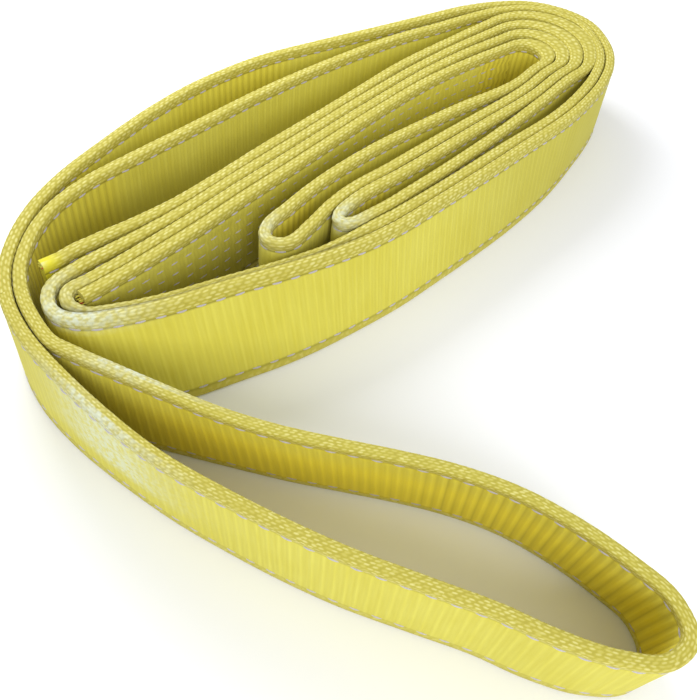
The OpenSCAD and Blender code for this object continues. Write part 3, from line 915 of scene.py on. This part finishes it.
def stationAt(travel):
    return int(round(travel / stationStep))


def bandPieces():
    ends = stretchEnds
    firstHinge, firstRoot = ends["firstBend"]
    secondRoot, secondHinge = ends["secondBend"]
    firstMiddle, secondMiddle = (firstHinge + firstRoot) / 2, (secondRoot + secondHinge) / 2
    coil, bend, loop = "coil", "end_bend", "middle_loop"
    rows = []
    for name in ("firstTail", "firstEye", "firstSpliceBody", "firstFrontRun"):
        rows.append((name, *ends[name], coil, None, None))
    rows += [
        ("firstBackRun", ends["firstBackRun"][0], firstHinge - flex, coil, None, None),
        ("firstBendUpper", firstHinge - flex, firstMiddle, coil, bend, firstHinge),
        ("firstBendLower", firstMiddle, firstRoot + flex, bend, loop, firstRoot),
        ("middleLoop", firstRoot + flex, secondRoot - flex, loop, None, None),
        ("secondBendLower", secondRoot - flex, secondMiddle, loop, bend, secondRoot),
        ("secondBendUpper", secondMiddle, secondHinge + flex, bend, coil, secondHinge),
        ("secondBackRun", secondHinge + flex, ends["secondBackRun"][1], coil, None, None),
    ]
    for name in ("secondFrontRun", "secondSpliceBody", "secondEye", "secondTail"):
        rows.append((name, *ends[name], coil, None, None))
    return rows


# The CAD plies that each piece stands for
standsFor = {
    "firstTail": "first_tail", "firstEye": "first_eye", "firstSpliceBody": "first_splice_body",
    "firstFrontRun": "first_front_run", "firstBackRun": "first_back_run",
    "firstBendUpper": "first_bend", "middleLoop": "middle_loop", "secondBendUpper": "second_bend",
    "secondBackRun": "second_back_run", "secondFrontRun": "second_front_run",
    "secondSpliceBody": "second_splice_body", "secondEye": "second_eye", "secondTail": "second_tail",
}


def attach(piece, bodyA, bodyB):
    # Rides on one body; a piece between two bodies is only baked in place
    if bodyB is None:
        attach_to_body(piece, bodyA)
        return
    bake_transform(piece)


# Edge stitching, in mm; the seams have sizes of their own
stitching = {
    "pitch": 8.6,
    "length": 4.8,
    "thread": 0.95,
    "loopThread": 0.8,
    "rise": 0.4,         # above the cloth
    "peak": 1.5,         # the arch's middle point, in rises
    "sink": 0.55,        # its ends below the cloth, in threads
    "swing": 0.09,       # radians to either side
    "archSteps": 5,
    "threadSides": 6,
    "faceDepth": 2.4,    # half thickness of the band along the row
    "seamDepth": 1.75,   # and along the rows of the seams
    "guideStep": 5,      # stations
    "endGap": 5.0,       # the band's cut ends are left free
    "seed": 3,
}


def stitchTree():
    # Stitches along guide lines, lying on the side to the left of each line
    tree = bpy.data.node_groups.new("stitchRow", "GeometryNodeTree")
    face = tree.interface
    face.new_socket("Guides", in_out="INPUT", socket_type="NodeSocketGeometry")
    for name in ("Pitch", "Length", "Thread", "Rise"):
        socket = face.new_socket(name, in_out="INPUT", socket_type="NodeSocketFloat")
        socket.default_value = stitching[name.lower()] * mm
    seed = face.new_socket("Seed", in_out="INPUT", socket_type="NodeSocketInt")
    seed.default_value = stitching["seed"]
    face.new_socket("Stitches", in_out="OUTPUT", socket_type="NodeSocketGeometry")
    given = addNode(tree, "NodeGroupInput").outputs
    lines = addNode(tree, "GeometryNodeMeshToCurve", inputs={"Mesh": given["Guides"]}).outputs[0]
    spaced = addNode(tree, "GeometryNodeResampleCurve", {"mode": "LENGTH"},
                     {"Curve": lines, "Length": given["Pitch"]}).outputs[0]

    shares = {
        "half": ("Length", 0.5), "back": ("Length", -0.5), "sink": ("Thread", -stitching["sink"]),
        "peak": ("Rise", stitching["peak"]), "radius": ("Thread", 0.5),
    }
    part = {}
    for name, (source, share) in shares.items():
        part[name] = addNode(tree, "ShaderNodeMath", {"operation": "MULTIPLY"},
                             {0: given[source], 1: share}).outputs[0]
    start = addNode(tree, "ShaderNodeCombineXYZ", inputs={0: part["back"], 2: part["sink"]}).outputs[0]
    crest = addNode(tree, "ShaderNodeCombineXYZ", inputs={2: part["peak"]}).outputs[0]
    finish = addNode(tree, "ShaderNodeCombineXYZ", inputs={0: part["half"], 2: part["sink"]}).outputs[0]
    bow = {"Resolution": stitching["archSteps"], "Start": start, "Middle": crest, "End": finish}
    arch = addNode(tree, "GeometryNodeCurveQuadraticBezier", inputs=bow).outputs[0]
    ring = addNode(tree, "GeometryNodeCurvePrimitiveCircle",
                   inputs={"Resolution": stitching["threadSides"], "Radius": part["radius"]}).outputs[0]
    stitch = addNode(tree, "GeometryNodeCurveToMesh",
                     inputs={"Curve": arch, "Profile Curve": ring, "Fill Caps": True}).outputs[0]

    tangent = addNode(tree, "GeometryNodeInputTangent").outputs[0]
    out = addNode(tree, "ShaderNodeVectorMath", {"operation": "CROSS_PRODUCT"},
                  {0: (0.0, 0.0, 1.0), 1: tangent}).outputs[0]
    turn = addNode(tree, "FunctionNodeAxesToRotation", {"primary_axis": "X", "secondary_axis": "Z"},
                   {0: tangent, 1: out}).outputs[0]
    swing = addNode(tree, "FunctionNodeRandomValue", {"data_type": "FLOAT"},
                    {2: -stitching["swing"], 3: stitching["swing"], "Seed": given["Seed"]}).outputs[1]
    tilt = addNode(tree, "ShaderNodeCombineXYZ", inputs={2: swing}).outputs[0]
    turned = addNode(tree, "FunctionNodeRotateRotation", {"rotation_space": "LOCAL"},
                     {0: turn, 1: tilt}).outputs[0]
    placed = addNode(tree, "GeometryNodeInstanceOnPoints",
                     inputs={"Points": spaced, "Instance": stitch, "Rotation": turned}).outputs[0]
    real = addNode(tree, "GeometryNodeRealizeInstances", inputs={0: placed}).outputs[0]
    soft = addNode(tree, "GeometryNodeSetShadeSmooth", inputs={0: real}).outputs[0]
    dyed = addNode(tree, "GeometryNodeSetMaterial",
                   inputs={"Geometry": soft, "Material": threadMaterial}).outputs[0]
    addNode(tree, "NodeGroupOutput", inputs={0: dyed})
    return tree


stitchNodes = stitchTree()


def guideLine(first, last, side, height, depth):
    # A line of points on one face, run so that the face's outside is on its left
    kept = int(stitching["endGap"] / stationStep)
    rows = slice(max(first, kept), min(last, stationCount - kept) + 1, stitching["guideStep"])
    level = height - halfWidth
    level = level - stationDip[rows] * ramp(level, weave["waveFrom"], rowHeight)
    line = stationPath[rows] + stationNormal[rows] * depth * side
    line = line + stationLean[rows] * level[:, None] / halfWidth
    line = np.column_stack([line, level + halfWidth]) * mm
    return line if side > 0 else line[::-1]


def stitchPiece(name, guides, sizes):
    places, edges = [], []
    for line in guides:
        base = len(places)
        places += [tuple(p) for p in line]
        edges += [(base + k, base + k + 1) for k in range(len(line) - 1)]
    mesh = bpy.data.meshes.new(name + "Guide")
    mesh.from_pydata(places, edges, [])
    guide = bpy.data.objects.new(name + "Guide", mesh)
    bpy.context.collection.objects.link(guide)
    modifier = guide.modifiers.new("stitches", "NODES")
    modifier.node_group = stitchNodes
    sockets = {item.name: item.identifier for item in stitchNodes.interface.items_tree}
    for key, value in sizes.items():
        modifier[sockets[key]] = value
    seen = guide.evaluated_get(bpy.context.evaluated_depsgraph_get())
    done = bpy.data.meshes.new_from_object(seen)
    done.name = name
    guide.modifiers.clear()
    bpy.data.objects.remove(guide)
    piece = bpy.data.objects.new(name, done)
    bpy.context.collection.objects.link(piece)
    return piece


stitchHeights = (weave["rowInset"], route["width"] - weave["rowInset"])
for name, start, end, bodyA, bodyB, hinge in bandPieces():
    first, last = stationAt(start), stationAt(end)
    piece = bpy.data.objects.new(name + "Band", bandMesh(name, first, last))
    bpy.context.collection.objects.link(piece)
    piece.data.materials.append(webbingMaterial)
    attach(piece, bodyA, bodyB)
    if name in standsFor:
        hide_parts(standsFor[name] + "_face_ply", standsFor[name] + "_lining_ply")
    guides = [
        guideLine(first, last, side, height, stitching["faceDepth"])
        for side in (-1, 1) for height in stitchHeights
    ]
    thread = stitching["loopThread"] if name in loopStretches else stitching["thread"]
    stitches = stitchPiece(name + "Stitches", guides, {"Thread": thread * mm})
    attach(stitches, bodyA, bodyB)
print("band: %d stations" % stationCount)

# Splice seams: more rows of the same stitches on the outside of each tail
for name, node in (("firstTail", "first_splice_seam"), ("secondTail", "second_splice_seam")):
    start, end = stretchEnds[name]
    first, last = stationAt(start + seamRows["margin"]), stationAt(end - seamRows["margin"])
    guides = [
        guideLine(first, last, seamSides[name], height, stitching["seamDepth"])
        for height in seamRows["heights"]
    ]
    sizes = {key: seamRows[key.lower()] * mm for key in ("Pitch", "Length", "Thread", "Rise")}
    seam = stitchPiece(name + "Seam", guides, sizes)
    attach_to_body(seam, "coil")
    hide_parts(node)
print("seams: sewn")

# Yarns that stand out of the two cut ends, in mm; the red ones are the webbing's marker yarns
cutEnds = {
    "firstTailYarns": {
        "travel": 0.0, "out": -1, "height": 48.3, "length": 1.6, "count": 7, "red": 1,
    },
    "secondTailYarns": {
        "travel": bandLength, "out": 1, "height": 46.5, "length": 3.0, "count": 14, "red": 2,
    },
}
yarnShape = {
    "thick": 0.75,
    "sides": 5,
    "rings": ((0.0, 1.0), (0.6, 0.9), (0.95, 0.55)),   # shares of the length and of the thickness
    "spread": (1.9, 1.6),      # of the roots, across the band and upwards
    "root": 0.5,               # how deep in the band it starts
    "slant": (0.5, 0.4),       # across and upwards, as shares of the length
    "reach": (0.6, 1.0),       # share of the full length
    "seed": 11,
}


def yarnPiece(name, setup):
    station = stationAt(setup["travel"])
    normal = np.array([*stationNormal[station], 0.0])
    out = np.array([stationNormal[station, 1], -stationNormal[station, 0], 0.0]) * setup["out"]
    upright = np.array([0.0, 0.0, 1.0])
    rng = np.random.default_rng(yarnShape["seed"])
    sides, rings, (across, rise) = yarnShape["sides"], yarnShape["rings"], yarnShape["slant"]
    places, faces, kinds = [], [], []
    for k in range(setup["count"]):
        wide, high = rng.uniform(-1, 1, 2) * yarnShape["spread"]
        root = np.array([*stationPath[station], setup["height"] + high])
        root = root + normal * wide - out * yarnShape["root"]
        slant = out + normal * rng.uniform(-across, across) + upright * rng.uniform(-rise, rise)
        reach = setup["length"] * rng.uniform(*yarnShape["reach"])
        base, top = len(places), len(places) + (len(rings) - 1) * sides
        for step, thick in rings:
            radius = yarnShape["thick"] / 2 * thick
            for turn in np.arange(sides) * 2 * math.pi / sides:
                ring = (normal * math.cos(turn) + upright * math.sin(turn)) * radius
                places.append(tuple((root + slant * reach * step + ring) * mm))
        for ring in range(base, top, sides):
            for i in range(sides):
                a, b = ring + i, ring + (i + 1) % sides
                faces.append((a, b, b + sides, a + sides))
        faces.append(tuple(top + i for i in range(sides)))
        faces.append(tuple(base + i for i in range(sides))[::-1])
        kinds += [1 if k < setup["red"] else 0] * (len(faces) - len(kinds))
    mesh = bpy.data.meshes.new(name)
    mesh.from_pydata(places, [], faces)
    mesh.materials.append(webbingMaterial)
    mesh.materials.append(yarnMaterial)
    mesh.polygons.foreach_set("material_index", kinds)
    mesh.polygons.foreach_set("use_smooth", [True] * len(faces))
    piece = bpy.data.objects.new(name, mesh)
    bpy.context.collection.objects.link(piece)
    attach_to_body(piece, "coil")


for name, setup in cutEnds.items():
    yarnPiece(name, setup)
print("cut ends: yarns out")

floorReach = 3.0   # m to each side


def addStage(reach):
    mesh = bpy.data.meshes.new("floor")
    corners = [(-reach, -reach, 0), (reach, -reach, 0), (reach, reach, 0), (-reach, reach, 0)]
    mesh.from_pydata(corners, [], [(0, 1, 2, 3)])
    floor = bpy.data.objects.new("floor", mesh)
    bpy.context.collection.objects.link(floor)
    mesh.materials.append(twoToneMaterial("paleFloor", floorLook))


# Soft studio light: strength of the white sky, and two lamps in m and W
lights = {
    "sky": 0.66,
    "key": {"place": (-0.65, -0.95, 0.78), "size": 0.6, "power": 10.5},
    "back": {"place": (0.05, 0.5, 0.38), "size": 0.4, "power": 3.0},
}


def addLight(name, setup):
    data = bpy.data.lights.new(name, "AREA")
    data.size, data.energy = setup["size"], setup["power"]
    light = bpy.data.objects.new(name, data)
    bpy.context.collection.objects.link(light)
    light.location = setup["place"]
    light.rotation_euler = (-Vector(setup["place"])).to_track_quat("-Z", "Y").to_euler()


def addSky(strength):
    world = bpy.data.worlds.new("studio")
    world.use_nodes = True
    backdrop = world.node_tree.nodes["Background"]
    backdrop.inputs["Color"].default_value = (1.0, 1.0, 1.0, 1.0)
    backdrop.inputs["Strength"].default_value = strength
    bpy.context.scene.world = world


addStage(floorReach)
addSky(lights["sky"])
addLight("key", lights["key"])
addLight("back", lights["back"])
bpy.context.scene.view_settings.view_transform = "Standard"
print("stage: floor and lights")
